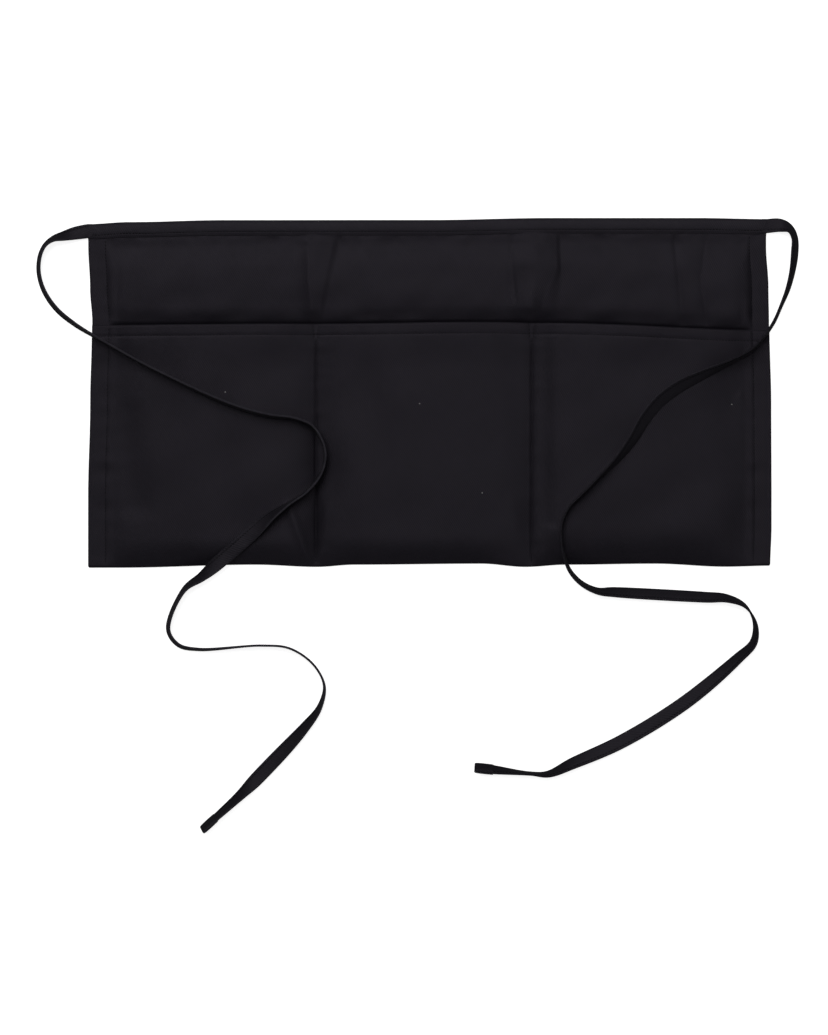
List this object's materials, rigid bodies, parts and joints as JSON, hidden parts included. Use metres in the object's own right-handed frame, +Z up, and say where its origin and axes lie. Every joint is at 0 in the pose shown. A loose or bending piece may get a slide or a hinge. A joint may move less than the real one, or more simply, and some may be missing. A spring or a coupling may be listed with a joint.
{
  "type": "waist apron",
  "caption": "Short waist apron of plain black twill with wide pockets across the front, a bound waistband and long loose ties, lying flat.",
  "frame": {"origin": "on the surface that the apron lies on, under the middle of the apron without its ties", "axes": "+Z up from the surface through the front of the apron, +Y from the bottom fold towards the waistband, +X along the waistband to the right as the apron is seen from the front"},
  "size_m": [0.6806, 0.5481, 0.0228],
  "materials": {
    "twill": "matt black cotton and polyester twill",
    "tape": "matt black twill binding tape"
  },
  "bodies": {
    "root": {"body_panel": "twill", "pocket_panel": "twill", "pocket_hem": "twill", "side_hem_left": "twill", "side_hem_right": "twill", "waistband": "tape", "tie_left": "tape", "tie_right": "tape", "tie_end_left": "tape", "tie_end_right": "tape"}
  },
  "joints": []
}
